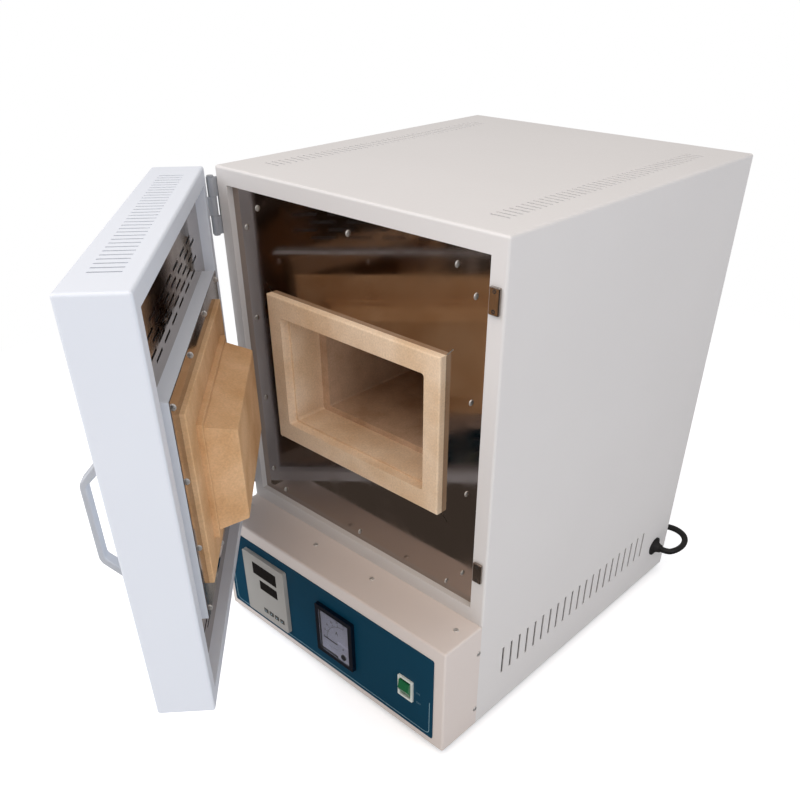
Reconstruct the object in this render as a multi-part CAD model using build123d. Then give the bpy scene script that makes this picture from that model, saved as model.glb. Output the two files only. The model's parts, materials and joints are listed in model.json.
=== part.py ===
# Bench-top muffle furnace. Millimetres, X to the right, Y to the back, Z up.
# The origin is on the floor, under the middle of the casing.
import math
import os

from build123d import *

# Casing
case_width = 440.0
case_depth = 487.0
case_height = 630.0
foot_height = 10.0
sheet = 1.5
bend = 3.0
rear_flange = 14.0
frame_side = 6.0
rim = 20.0
recess = 8.0
facing_thickness = 1.0
facing_lap = 6.0

# Louvre slots of the casing
side_slots = 21
side_slot_start = 50.0
side_slot_end = 86.0
side_slot_width = 4.0
side_slot_length = 45.0
side_slot_low = 57.5
top_slots = 40
top_slot_start = 48.0
top_slot_end = 56.8
top_slot_width = 2.6
top_slot_length = 24.0
top_slot_inset = 49.0
rear_slots = 12
rear_slot_pitch = 12.0
rear_slot_width = 3.0
rear_slot_length = 90.0
rear_slot_below_top = 230.0

# Control box below the door
control_projection = 67.0
control_height = 169.0
panel_inset = 14.0
panel_top_gap = 21.0
panel_low = 11.0
panel_shift = -3.0
panel_thickness = 1.0
panel_corner = 3.0
bracket_reach = 14.0
bracket_thickness = 1.2
rail_width = 18.0
rail_inset = 16.0
pan_flange = 15.0

# Mouth, chamber and insulation
axis_drop = 3.5
chamber_inset_x = 16.0
chamber_inset_z = 11.0
muffle_wall = 15.0
chamber_corner = 3.0
mouth_width = 240.0
mouth_height = 146.0
mouth_step = 3.0
mouth_step_depth = 12.4
mouth_corner = 4.0
collar_lap_x = 23.0
collar_lap_z = 25.0
collar_proud = 1.0
collar_depth = 59.0
collar_round = 2.0
relief_slit_length = 15.0
relief_slit_width = 1.2
relief_slit_start = 2.0
inner_side_gap = 29.0
inner_height_gap = 48.0
inner_depth_gap = 67.0
back_insulation = 56.0
inner_sheet = 1.0
inner_flange = 26.0
facing_screw_edge = 12.2
facing_screw_corner_x = 37.0
facing_screw_corner_z = 37.9
facing_screws_up = 4
shelf_flange = 15.0

# Heating winding
turn_pitch = 22.0
first_turn = 30.0
last_turn = 28.0
groove_depth = 3.0
groove_play = 0.4
ribbon_width = 8.0
ribbon_thickness = 1.5
ribbon_gap = 10.0
lead_radius = 2.0
lead_inset = 14.0
lead_drop = 180.0
bushing_radius = 5.0
bushing_play = 0.1
bushing_below = 12.0

# Thermocouple
probe_radius = 3.0
probe_play = 0.3
probe_x = 40.0
probe_rise = 20.0
probe_reach = 20.0
probe_head_radius = 14.0
probe_head_length = 26.0

# Door
door_open = 42.0
door_gap = 10.0
door_thickness = 61.0
door_floor_gap = 8.0
door_rim = 18.0
door_recess = 13.0
door_plate_thickness = 1.0
door_slots = 31
door_slot_inset = 49.0
door_slot_length = 28.0
door_slot_width = 2.5
band_rows = 5
band_row_pitch = 9.6
band_slot_pitch = 46.0
band_slot_length = 31.0
band_slot_width = 3.2
band_slots = 7
band_start = 16.5
box_strip_x = 28.0
box_strip_z = 25.5
door_box_sheet = 1.2
door_box_proud = 3.0
door_box_flange = 8.0
plug_frame_thickness = 1.0
plug_lap_x = 9.0
plug_play = 0.3
plug_step_play = 6.0
plug_step = 6.0
plug_root_play = 12.0
plug_taper = 8.0
plug_reach = 36.0
frame_screw_edge = 8.5
frame_screws_across = 4
frame_screws_up = 3
collar_play = 0.5

# Hinges
pin_outside = 4.5
pin_radius = 2.5
pin_play = 0.05
knuckle_radius = 5.0
knuckle_length = 22.0
knuckle_play = 0.3
leaf_thickness = 2.2
leaf_length = 25.0
leaf_clear = 6.0
pin_head = 1.5
hinge_inset = 46.0

# Catches
catch_width = 13.0
catch_height = 27.0
catch_play = 0.3
catch_center = 11.4
catch_round = 1.2
catch_below_top = 60.5
catch_above_box = 79.0
magnet_width = 8.0
magnet_height = 15.0
magnet_depth = 5.0

# Handle
handle_inset = 33.0
handle_width = 22.0
handle_bar = 8.0
handle_reach = 24.6
handle_half = 76.0
handle_grip_half = 44.0
handle_foot = 12.0
handle_above_axis = 18.0
handle_round = 5.0
handle_edge = 1.8

# Controller
controller_x = -119.3
controller_z = 78.7
controller_width = 92.0
controller_height = 110.0
controller_proud = 6.5
controller_lip = 4.0
controller_case_depth = 70.0
controller_corner = 3.0
display_depth = 1.2
display_play = 0.1
display_tall = (48.5, 22.5, 53.0, 21.0)
display_short = (54.75, 47.8, 39.5, 16.5)
key_left = 43.0
key_pitch = 12.3
key_down_from_top = 93.5
key_width = 8.5
key_height = 7.0
key_length = 4.4
key_proud = 1.0
key_play = 0.3
key_travel = 0.8
key_end_play = 0.2

# Ammeter
meter_x = 27.8
meter_z = 80.1
meter_width = 71.5
meter_height = 84.0
meter_proud = 6.0
meter_frame = 7.0
meter_back = 1.2
meter_can_radius = 27.0
meter_can_depth = 42.0
meter_window = 1.2
meter_corner = 2.0
dial_thickness = 0.8
dial_play = 0.2
pivot_right = 17.2
pivot_down = 12.0
pivot_radius = 1.0
pivot_play = 0.05
pivot_height = 2.6
needle_hub = 2.6
needle_length = 40.0
needle_width = 0.9
needle_thickness = 0.6
needle_lift = 0.6
adjuster_right = 18.4
adjuster_down = 25.0
adjuster_radius = 4.6
adjuster_play = 0.1
adjuster_proud = 1.0
adjuster_slot = 1.0

# Rocker switch
switch_x = 157.5
switch_z = 73.0
switch_width = 25.5
switch_height = 35.0
switch_proud = 2.5
switch_frame = 2.8
switch_case_depth = 30.0
rocker_play = 0.35
rocker_relief = 0.35
rocker_ridge = 6.5
rocker_edge = 2.6
rocker_back = 5.0
rocker_tilt = 8.0
trunnion_radius = 1.5
trunnion_length = 1.2
trunnion_play = 0.05

# Electrics on the base pan
sink_width = 120.0
sink_depth = 90.0
sink_base = 6.0
sink_height = 36.0
sink_fins = 13
sink_fin = 2.0
module_size = (60.0, 48.0, 28.0)
terminal_size = (100.0, 30.0, 26.0)
terminal_ways = 5

# Feet and screws
foot_top_radius = 14.0
foot_bottom_radius = 11.0
foot_inset_x = 40.0
foot_front_inset = 40.0
foot_rear_inset = 45.0
head_radius = 3.6
head_height = 1.7
head_taper = 0.62
shank_radius = 1.9
shank_play = 0.1
shank_length = 6.0
rail_screw_side = 20.0
rail_screw_middle = 55.0
bracket_screw_low = 29.4
bracket_screw_high = 41.0
bracket_foot = 20.0

# Cord
cord_radius = 4.75
gland_inset = 38.5
gland_height = 53.2
gland_flange = 15.0
gland_flange_thickness = 1.5
gland_tip = 6.4
gland_length = 12.0
gland_neck = 8.0
gland_neck_length = 8.0
gland_play = 0.2
coil_radius = 52.0
coil_x = -20.0
coil_behind = 95.0
coil_round = 3.5
tie_arc = 10.0
tie_place = 35.0
tie_thickness = 0.9
plug_body = (40.0, 34.0, 22.0)
plug_pin_radius = 2.4
plug_pin_length = 19.0
pin_spread = 19.0

# Places that follow from the sizes
half = case_width / 2
chamber_width = mouth_width - 2 * chamber_inset_x
chamber_height = mouth_height - 2 * chamber_inset_z
inner_width = 2 * (half - inner_side_gap)
inner_height = case_height - control_height - inner_height_gap
inner_depth = case_depth - inner_depth_gap
panel_width = case_width - 2 * panel_inset
panel_height = control_height - panel_low - panel_top_gap
front = -case_depth / 2
rear = case_depth / 2
floor = foot_height
top = foot_height + case_height
control_front = front - control_projection
control_top = floor + control_height
panel_front = control_front - panel_thickness
recess_half = half - rim
recess_low = control_top + rim
recess_high = top - rim
facing_front = front + recess
facing_back = facing_front + facing_thickness
axis_z = (control_top + top) / 2 - axis_drop
inner_x = inner_width / 2
inner_z = inner_height / 2
inner_back = facing_back + inner_depth
shelf_top = axis_z - inner_z
collar_front = front - collar_proud
collar_back = collar_front + collar_depth
collar_x = mouth_width / 2 + collar_lap_x
collar_z = mouth_height / 2 + collar_lap_z
muffle_x = chamber_width / 2 + muffle_wall
muffle_z = chamber_height / 2 + muffle_wall
muffle_back = inner_back - back_insulation
chamber_back = muffle_back - muffle_wall
rim_plane = front - door_gap
door_face = rim_plane - door_thickness
door_low = control_top + door_floor_gap
door_plate_front = rim_plane - door_recess
door_plate_back = door_plate_front - door_plate_thickness
frame_front = rim_plane + door_box_proud
plug_x = collar_x + plug_lap_x
plug_z = collar_z
box_x = plug_x + box_strip_x
box_z = plug_z + box_strip_z
plug_seat = collar_front - collar_play
pin_x = -half - pin_outside
pin_y = front - door_gap / 2
door_axis = Axis((pin_x, pin_y, 0), (0, 0, 1))


def block(x, y, z):
    # Box from three low and high pairs
    size = Box(x[1] - x[0], y[1] - y[0], z[1] - z[0])
    return Pos((x[0] + x[1]) / 2, (y[0] + y[1]) / 2, (z[0] + z[1]) / 2) * size


def upright(x, y, z, corner):
    # Block whose four edges along Y are rounded
    body = block(x, y, z)
    return fillet(body.edges().filter_by(Axis.Y), corner)


def about(center, span):
    # Low and high of a length that is centred on a place
    return (center - span / 2, center + span / 2)


def drill(x, y, z, radius, length):
    # Cylinder along Y that starts at y
    return Pos(x, y + length / 2, z) * Rot(90, 0, 0) * Cylinder(radius, length)


def post(x, y, z, radius, length):
    # Cylinder along Z that starts at z
    return Pos(x, y, z + length / 2) * Cylinder(radius, length)


def screw(place, turn=Rot(0, 0, 0), length=shank_length):
    # Pan head above the place and shank below it, along local Z
    taper = Cone(head_radius, head_radius * head_taper, head_height)
    head = Pos(0, 0, head_height / 2) * taper
    shank = Pos(0, 0, -length / 2) * Cylinder(shank_radius, length)
    return Pos(*place) * turn * (head + shank)


to_front = Rot(90, 0, 0)
to_rear = Rot(-90, 0, 0)
to_right = Rot(0, 90, 0)
to_left = Rot(0, -90, 0)


def swing(shape):
    # Door pieces are drawn closed and then opened to the rest pose
    return shape.rotate(door_axis, -door_open)


def ring(outer_x, outer_z, inner_x, inner_z, y, center_x, center_z):
    # Rectangular ring in the XZ plane
    outer = block(about(center_x, 2 * outer_x), y, about(center_z, 2 * outer_z))
    cut = block(about(center_x, 2 * inner_x), y, about(center_z, 2 * inner_z))
    return outer - cut


# Casing, frame, pan and covers
def outer_casing():
    body = block((-half, half), (front, rear), (floor, top))
    ridges = body.edges().filter_by(Axis.Y).group_by(Axis.Z)[-1]
    body = fillet(ridges, bend)
    hollow = block(
        (-half + sheet, half - sheet), (front - 1, rear + 1), (floor - 1, top - sheet)
    )
    ridges = hollow.edges().filter_by(Axis.Y).group_by(Axis.Z)[-1]
    body -= fillet(ridges, bend - sheet)
    body -= block((-half, half), (front, front + frame_side), (control_top, top))
    flange = block((-half + sheet, half - sheet), (rear - sheet, rear), (floor, top - sheet))
    inside = half - sheet - rear_flange
    flange -= block((-inside, inside), (rear - sheet, rear), (floor, top - sheet - rear_flange))
    body += flange
    slots = []
    side_pitch = (case_depth - side_slot_start - side_slot_end) / (side_slots - 1)
    top_pitch = (case_depth - top_slot_start - top_slot_end) / (top_slots - 1)
    for index in range(side_slots):
        y = front + side_slot_start + index * side_pitch
        low = floor + side_slot_low
        slots.append(
            block((-half - 1, half + 1), about(y, side_slot_width), (low, low + side_slot_length))
        )
    for index in range(top_slots):
        y = front + top_slot_start + index * top_pitch
        for side in (-1, 1):
            x = side * (half - top_slot_inset)
            slots.append(
                block(about(x, top_slot_length), about(y, top_slot_width), (top - sheet - 1, top + 1))
            )
    body -= slots
    body -= gland_hole()
    return body - [bracket_screw(side, z, True) for side in (-1, 1) for z in bracket_screw_heights]


def front_frame():
    body = block((-half, half), (front, front + frame_side), (control_top, top))
    edges = body.edges().filter_by(Axis.Z).group_by(Axis.Y)[0]
    edges += body.edges().filter_by(Axis.X).group_by(Axis.Y)[0].group_by(Axis.Z)[-1]
    edges += body.edges().filter_by(Axis.Y).group_by(Axis.Z)[-1]
    body = fillet(edges, bend)
    body -= block(
        (-half + sheet, half - sheet),
        (front + sheet, front + frame_side),
        (control_top + sheet, top - sheet),
    )
    mid = (recess_low + recess_high) / 2
    tall = (recess_high - recess_low) / 2
    body -= block((-recess_half, recess_half), (front, facing_front), (recess_low, recess_high))
    lip = ring(
        recess_half + sheet, tall + sheet, recess_half, tall, (front + sheet, facing_front), 0, mid
    )
    return body + lip


def facing_screw_places():
    places = []
    row = inner_x - facing_screw_corner_x
    column = inner_z - facing_screw_corner_z
    for side in (-1, 1):
        for index in range(facing_screws_up):
            z = axis_z + column * (2 * index / (facing_screws_up - 1) - 1)
            places.append((side * (inner_x - facing_screw_edge), z))
        for x in (-row, 0, row):
            places.append((x, axis_z + side * (inner_z - facing_screw_edge)))
    return places


def facing_screw_holes():
    reach = facing_thickness + inner_sheet + 2
    radius = shank_radius + shank_play
    return [drill(x, facing_front - 1, z, radius, reach) for x, z in facing_screw_places()]


def facing_plate():
    wide = recess_half + facing_lap
    body = block(
        (-wide, wide), (facing_front, facing_back), (recess_low - facing_lap, recess_high + facing_lap)
    )
    body -= block(
        (-collar_x, collar_x), (facing_front, facing_back), (axis_z - collar_z, axis_z + collar_z)
    )
    slits = []
    for side in (-1, 1):
        for up in (-1, 1):
            slit = Box(relief_slit_length, 4, relief_slit_width)
            reach = (relief_slit_length / 2 - relief_slit_start) * math.sqrt(0.5)
            place = (side * (collar_x + reach), facing_front, axis_z + up * (collar_z + reach))
            slits.append(Pos(*place) * Rot(0, -45 * side * up, 0) * slit)
    body -= slits
    return body - facing_screw_holes()


def facing_screws():
    length = facing_thickness + inner_sheet
    return [screw((x, facing_front, z), to_front, length) for x, z in facing_screw_places()]


def rear_cover():
    body = block((-half + 2, half - 2), (rear, rear + sheet), (floor + 2, top - bend - 1))
    slots = []
    for side in (-1, 1):
        for index in range(rear_slots):
            z = top - rear_slot_below_top + index * rear_slot_pitch
            slots.append(
                block(
                    about(side * case_width / 5, rear_slot_length),
                    (rear - 1, rear + sheet + 1),
                    about(z, rear_slot_width),
                )
            )
    return body - slots


def base_pan():
    low = control_front + sheet
    high = rear - sheet
    wide = half - sheet
    body = block((-wide, wide), (low, high), (floor, floor + pan_flange))
    body -= block(
        (-wide + sheet, wide - sheet), (low + sheet, high - sheet), (floor + sheet, floor + pan_flange)
    )
    return body


def shelf():
    wide = half - sheet
    low = shelf_top - shelf_flange
    body = block((-wide, wide), (facing_back, inner_back), (low, shelf_top))
    body -= block((-wide + sheet, wide - sheet), (facing_back, inner_back), (low, shelf_top - sheet))
    for x, y in lead_places():
        body -= post(x, y, low, bushing_radius + bushing_play, shelf_flange + 1)
    return body


bracket_low = floor + bracket_foot
bracket_high = control_top - 12.0
bracket_screw_heights = (floor + bracket_screw_low, control_top - bracket_screw_high)
side_screw_ahead = 3.5


def bracket_screw(side, z, hole=False):
    # Screw through the side wall into the bracket, or the hole that it takes
    place = (side * half, front - side_screw_ahead, z)
    if hole:
        return Pos(*place) * to_right * Cylinder(shank_radius + shank_play, 20)
    return screw(place, to_right if side > 0 else to_left)


def rail_screw_places():
    y = front - rail_inset - rail_width / 2
    side = half - rail_screw_side
    return [(x, y, control_top) for x in (-side, -rail_screw_middle, rail_screw_middle, side)]


def rail_holes():
    return [Pos(x, y, z) * Cylinder(shank_radius + shank_play, 20) for x, y, z in rail_screw_places()]


def side_holes():
    return [bracket_screw(side, z, True) for side in (-1, 1) for z in bracket_screw_heights]


def control_box():
    body = block((-half, half), (control_front, front), (floor, control_top))
    edges = body.edges().filter_by(Axis.Z).group_by(Axis.Y)[0]
    edges += body.edges().filter_by(Axis.X).group_by(Axis.Y)[0].group_by(Axis.Z)[-1]
    edges += body.edges().filter_by(Axis.Y).group_by(Axis.Z)[-1]
    body = fillet(edges, bend)
    body -= block(
        (-half + sheet, half - sheet),
        (control_front + sheet, front),
        (floor, control_top - sheet),
    )
    body -= instrument_cuts()
    body -= side_holes()
    return body - rail_holes()


def control_brackets():
    wide = half - sheet
    strips = []
    for side in (-1, 1):
        x = sorted((side * wide, side * (wide - bracket_thickness)))
        strip = block(x, (front - bracket_reach, front + bracket_reach), (bracket_low, bracket_high))
        strips.append(strip - side_holes())
    rail_high = control_top - sheet
    rail = block(
        (-wide + 2, wide - 2),
        (front - rail_inset - rail_width, front - rail_inset),
        (rail_high - bracket_thickness, rail_high),
    )
    strips.append(rail - rail_holes())
    return strips


def casing_screws():
    heads = [bracket_screw(side, z) for side in (-1, 1) for z in bracket_screw_heights]
    heads += [screw(place) for place in rail_screw_places()]
    return heads


def feet():
    places = []
    for side in (-1, 1):
        x = side * (half - foot_inset_x)
        places.append((x, control_front + foot_front_inset))
        places.append((x, rear - foot_rear_inset))
    cone = Cone(foot_bottom_radius, foot_top_radius, foot_height)
    return [Pos(x, y, foot_height / 2) * cone for x, y in places]


# Mouth, chamber, winding and insulation
def mouth_collar():
    z = (axis_z - collar_z, axis_z + collar_z)
    body = block((-collar_x, collar_x), (collar_front, collar_back), z)
    body = fillet(body.edges().group_by(Axis.Y)[0], collar_round)
    x = about(0, mouth_width)
    step = collar_front + mouth_step_depth
    body -= upright(x, (collar_front, step), about(axis_z, mouth_height), mouth_corner)
    x = about(0, mouth_width - 2 * mouth_step)
    z = about(axis_z, mouth_height - 2 * mouth_step)
    return body - upright(x, (step, collar_back), z, mouth_corner)


def turn_places():
    start = collar_back + first_turn
    run = chamber_back - last_turn - start
    gaps = round(run / turn_pitch)
    return [start + index * run / gaps for index in range(gaps + 1)]


def lead_places():
    places = turn_places()
    return [(lead_inset, places[0]), (-lead_inset, places[-1])]


def muffle():
    z = (axis_z - muffle_z, axis_z + muffle_z)
    body = block((-muffle_x, muffle_x), (collar_back, muffle_back), z)
    body -= upright(
        about(0, chamber_width),
        (collar_back, chamber_back),
        about(axis_z, chamber_height),
        chamber_corner,
    )
    floor_x = muffle_x - groove_depth
    floor_z = muffle_z - groove_depth
    for y in turn_places():
        span = about(y, ribbon_width + groove_play)
        body -= ring(muffle_x, muffle_z, floor_x, floor_z, span, 0, axis_z)
    places = turn_places()
    body -= block(
        about(0, 2 * ribbon_gap + ribbon_width),
        (places[0], places[-1]),
        (axis_z - muffle_z, axis_z - floor_z),
    )
    hole = drill(probe_x, chamber_back - 1, axis_z + probe_rise, probe_radius + probe_play, muffle_wall + 2)
    return body - hole


def heating_winding():
    inner_x = muffle_x - groove_depth
    inner_z = muffle_z - groove_depth
    outer_x = inner_x + ribbon_thickness
    outer_z = inner_z + ribbon_thickness
    low = axis_z - outer_z
    high = axis_z - inner_z
    places = turn_places()
    body = None
    for index, y in enumerate(places):
        turn = ring(outer_x, outer_z, inner_x, inner_z, about(y, ribbon_width), 0, axis_z)
        turn -= block((-ribbon_gap, ribbon_gap), about(y, ribbon_width), (low, high))
        body = turn if body is None else body + turn
        if index:
            before = places[index - 1]
            step = Polyline(
                (-ribbon_gap - 2, before - ribbon_width / 2),
                (ribbon_gap + 2, y - ribbon_width / 2),
                (ribbon_gap + 2, y + ribbon_width / 2),
                (-ribbon_gap - 2, before + ribbon_width / 2),
                close=True,
            )
            body += Pos(0, 0, low) * extrude(make_face(step), amount=ribbon_thickness, dir=(0, 0, 1))
    return body


def heater_leads():
    high = axis_z - muffle_z + groove_depth - ribbon_thickness
    return [post(x, y, high - lead_drop, lead_radius, lead_drop) for x, y in lead_places()]


def lead_bushings():
    low = shelf_top - sheet - bushing_below
    high = axis_z - muffle_z
    bore = lead_radius + bushing_play
    tubes = []
    for x, y in lead_places():
        tubes.append(post(x, y, low, bushing_radius, high - low) - post(x, y, low, bore, high - low))
    return tubes


def insulation_top():
    z = axis_z + inner_z - inner_sheet
    x = inner_x - inner_sheet
    body = block((-x, x), (facing_back + inner_sheet, muffle_back), (axis_z + muffle_z, z))
    pocket = block(
        (-collar_x, collar_x), (facing_back, collar_back), (axis_z + muffle_z, axis_z + collar_z)
    )
    return body - pocket


def insulation_bottom():
    z = axis_z - inner_z + inner_sheet
    x = inner_x - inner_sheet
    body = block((-x, x), (facing_back + inner_sheet, muffle_back), (z, axis_z - muffle_z))
    body -= block(
        (-collar_x, collar_x), (facing_back, collar_back), (axis_z - collar_z, axis_z - muffle_z)
    )
    for x, y in lead_places():
        body -= post(x, y, z - 1, bushing_radius + bushing_play, inner_height)
    return body


def insulation_sides():
    blocks = []
    for side in (-1, 1):
        x = sorted((side * muffle_x, side * (inner_x - inner_sheet)))
        z = (axis_z - muffle_z, axis_z + muffle_z)
        body = block(x, (facing_back + inner_sheet, muffle_back), z)
        x = sorted((side * muffle_x, side * collar_x))
        blocks.append(body - block(x, (facing_back, collar_back), z))
    return blocks


def insulation_back():
    x = inner_x - inner_sheet
    z = inner_z - inner_sheet
    body = block((-x, x), (muffle_back, inner_back - inner_sheet), (axis_z - z, axis_z + z))
    return body - drill(
        probe_x, muffle_back - 1, axis_z + probe_rise, probe_radius + probe_play, inner_depth
    )


def inner_case():
    body = block((-inner_x, inner_x), (facing_back, inner_back), (axis_z - inner_z, axis_z + inner_z))
    x = inner_x - inner_sheet
    z = inner_z - inner_sheet
    body -= block((-x, x), (facing_back + inner_sheet, inner_back - inner_sheet), (axis_z - z, axis_z + z))
    x = inner_x - inner_flange
    z = inner_z - inner_flange
    body -= block((-x, x), (facing_back, facing_back + inner_sheet), (axis_z - z, axis_z + z))
    body -= facing_screw_holes()
    for x, y in lead_places():
        body -= post(x, y, shelf_top - 1, bushing_radius + bushing_play, inner_sheet + 2)
    return body - drill(
        probe_x, inner_back - 3, axis_z + probe_rise, probe_radius + probe_play, inner_sheet + 5
    )


def thermocouple():
    tip = chamber_back - probe_reach
    z = axis_z + probe_rise
    body = drill(probe_x, tip, z, probe_radius, inner_back - tip)
    return body + drill(probe_x, inner_back, z, probe_head_radius, probe_head_length)


# Electrics
sink_left = 20.0
sink_back = 60.0
terminal_back = 40.0


def heat_sink():
    low = floor + sheet
    x = (sink_left, sink_left + sink_width)
    y = (sink_back - sink_depth, sink_back)
    body = block(x, y, (low + sink_height - sink_base, low + sink_height))
    pitch = (sink_width - sink_fin) / (sink_fins - 1)
    for index in range(sink_fins):
        left = sink_left + index * pitch
        body += block((left, left + sink_fin), y, (low, low + sink_height - sink_base))
    return body


def thyristor_module():
    low = floor + sheet + sink_height
    wide, deep, tall = module_size
    x = about(sink_left + sink_width / 2, wide)
    return upright(x, about(sink_back - sink_depth / 2, deep), (low, low + tall), 3)


def terminal_block():
    wide, deep, tall = terminal_size
    low = floor + sheet
    x = (half - foot_inset_x - wide, half - foot_inset_x)
    y = (rear - terminal_back - deep, rear - terminal_back)
    body = block(x, y, (low, low + tall))
    pitch = wide / terminal_ways
    for index in range(terminal_ways):
        place = x[0] + (index + 0.5) * pitch
        wire_way = about(place, pitch * 0.6)
        body -= block(wire_way, about(sum(y) / 2, deep / 2), (low + tall * 0.6, low + tall))
    return body


# Instruments in the panel
def instrument_cuts():
    y = (panel_front - 1, control_front + sheet + 1)
    cuts = []
    cuts.append(
        block(
            about(controller_x, controller_width - 2 * controller_lip),
            y,
            about(floor + controller_z, controller_height - 2 * controller_lip),
        )
    )
    cuts.append(drill(meter_x, y[0], floor + meter_z, meter_can_radius, y[1] - y[0]))
    cuts.append(
        block(
            about(switch_x, switch_width - 2 * switch_frame + 1),
            y,
            about(floor + switch_z, switch_height - 2 * switch_frame + 1),
        )
    )
    return cuts


def control_panel():
    low = floor + panel_low
    body = upright(
        about(panel_shift, panel_width),
        (panel_front, control_front),
        (low, low + panel_height),
        panel_corner,
    )
    return body - instrument_cuts()


def controller_bezel():
    y = (panel_front - controller_proud, panel_front)
    x = about(controller_x, controller_width)
    z = about(floor + controller_z, controller_height)
    body = upright(x, y, z, controller_corner)
    body = fillet(body.edges().group_by(Axis.Y)[0], 1)
    for place in (display_tall, display_short):
        body -= display_pocket(place, 0)
    for index in range(4):
        body -= key_block(index, key_play, key_length + key_travel + key_end_play, 0)
    return body


def display_pocket(place, play):
    left = controller_x - controller_width / 2
    high = floor + controller_z + controller_height / 2
    across, down, wide, tall = place
    y = panel_front - controller_proud
    return block(
        about(left + across, wide - 2 * play), (y, y + display_depth), about(high - down, tall - 2 * play)
    )


def display_windows():
    return [display_pocket(place, display_play) for place in (display_tall, display_short)]


def key_block(index, play, length, proud):
    x = controller_x - controller_width / 2 + key_left + index * key_pitch
    z = floor + controller_z + controller_height / 2 - key_down_from_top
    y = panel_front - controller_proud - proud
    return block(about(x, key_width + 2 * play), (y, y + length), about(z, key_height + 2 * play))


def key(index):
    body = key_block(index, 0, key_length + key_proud, key_proud)
    return fillet(body.edges().group_by(Axis.Y)[0], 0.8)


def controller_case():
    wide = controller_width - 2 * controller_lip
    tall = controller_height - 2 * controller_lip
    return block(
        about(controller_x, wide),
        (panel_front, panel_front + controller_case_depth),
        about(floor + controller_z, tall),
    )


def ammeter_case():
    y = (panel_front - meter_proud, panel_front)
    x = about(meter_x, meter_width)
    z = about(floor + meter_z, meter_height)
    body = upright(x, y, z, meter_corner)
    wide = meter_width - 2 * meter_frame
    tall = meter_height - 2 * meter_frame
    body -= block(about(meter_x, wide), (y[0], y[1] - meter_back), about(floor + meter_z, tall))
    body += drill(meter_x, panel_front, floor + meter_z, meter_can_radius, meter_can_depth)
    length = dial_thickness + pivot_height
    low = panel_front - meter_back - length
    z = floor + meter_z - pivot_down
    return body + drill(meter_x + pivot_right, low, z, pivot_radius, length)


def ammeter_dial():
    wide = meter_width - 2 * meter_frame - 2 * dial_play
    tall = meter_height - 2 * meter_frame - 2 * dial_play
    high = panel_front - meter_back
    body = block(about(meter_x, wide), (high - dial_thickness, high), about(floor + meter_z, tall))
    return body - drill(
        meter_x + pivot_right, high - 2, floor + meter_z - pivot_down, pivot_radius + pivot_play, 4
    )


def ammeter_window():
    low = panel_front - meter_proud
    wide = meter_width - 2 * meter_frame - 2 * dial_play
    tall = meter_height - 2 * meter_frame - 2 * dial_play
    body = block(about(meter_x, wide), (low, low + meter_window), about(floor + meter_z, tall))
    return body - drill(
        meter_x + adjuster_right,
        low - 1,
        floor + meter_z - adjuster_down,
        adjuster_radius + adjuster_play,
        meter_window + 2,
    )


def ammeter_needle():
    dial = panel_front - meter_back - dial_thickness
    y = dial - needle_lift - needle_thickness
    x = meter_x + pivot_right
    z = floor + meter_z - pivot_down
    hub = drill(x, y, z, needle_hub, needle_thickness)
    pointer = block((x - needle_length, x), (y, y + needle_thickness), about(z, needle_width))
    tail = block((x, x + 2 * needle_hub), (y, y + needle_thickness), about(z, 2 * needle_width))
    return hub + pointer + tail - drill(x, y - 1, z, pivot_radius + pivot_play, needle_thickness + 2)


def zero_adjuster():
    low = panel_front - meter_proud
    x = meter_x + adjuster_right
    z = floor + meter_z - adjuster_down
    body = drill(x, low - adjuster_proud, z, adjuster_radius, adjuster_proud + meter_window)
    depth = (low - adjuster_proud, low - adjuster_proud / 2)
    return body - block(about(x, 2 * adjuster_radius), depth, about(z, adjuster_slot))


def rocker_hole(play):
    return (
        about(switch_x, switch_width - 2 * switch_frame + 2 * play),
        about(floor + switch_z, switch_height - 2 * switch_frame + 2 * play),
    )


def switch_case():
    y = (panel_front - switch_proud, panel_front)
    x = about(switch_x, switch_width)
    z = about(floor + switch_z, switch_height)
    body = upright(x, y, z, 1.5)
    wide, tall = rocker_hole(0.45)
    body += block(wide, (panel_front, panel_front + switch_case_depth), tall)
    wide, tall = rocker_hole(-0.6)
    body -= block(wide, (y[0], panel_front + rocker_back + 3), tall)
    span = switch_width - 2 * switch_frame - 1.2 + 2 * trunnion_length + 0.4
    hole = Cylinder(trunnion_radius + trunnion_play, span)
    return body - Pos(switch_x, panel_front, floor + switch_z) * to_right * hole


def switch_rocker():
    wide, tall = rocker_hole(-0.6 - rocker_play)
    z = floor + switch_z
    low = tall[0] + rocker_relief
    high = tall[1] - rocker_relief
    profile = Polyline(
        (panel_front - rocker_ridge, z),
        (panel_front - rocker_edge, high),
        (panel_front + rocker_back, high - 4),
        (panel_front + rocker_back, low + 4),
        (panel_front - rocker_edge, low),
        close=True,
    )
    side = Plane((wide[0], 0, 0), x_dir=(0, 1, 0), z_dir=(1, 0, 0))
    body = extrude(side * make_face(profile), amount=wide[1] - wide[0], dir=(1, 0, 0))
    span = wide[1] - wide[0] + 2 * trunnion_length
    body += Pos(switch_x, panel_front, z) * to_right * Cylinder(trunnion_radius, span)
    return body.rotate(Axis((switch_x, panel_front, z), (1, 0, 0)), rocker_tilt)


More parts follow.
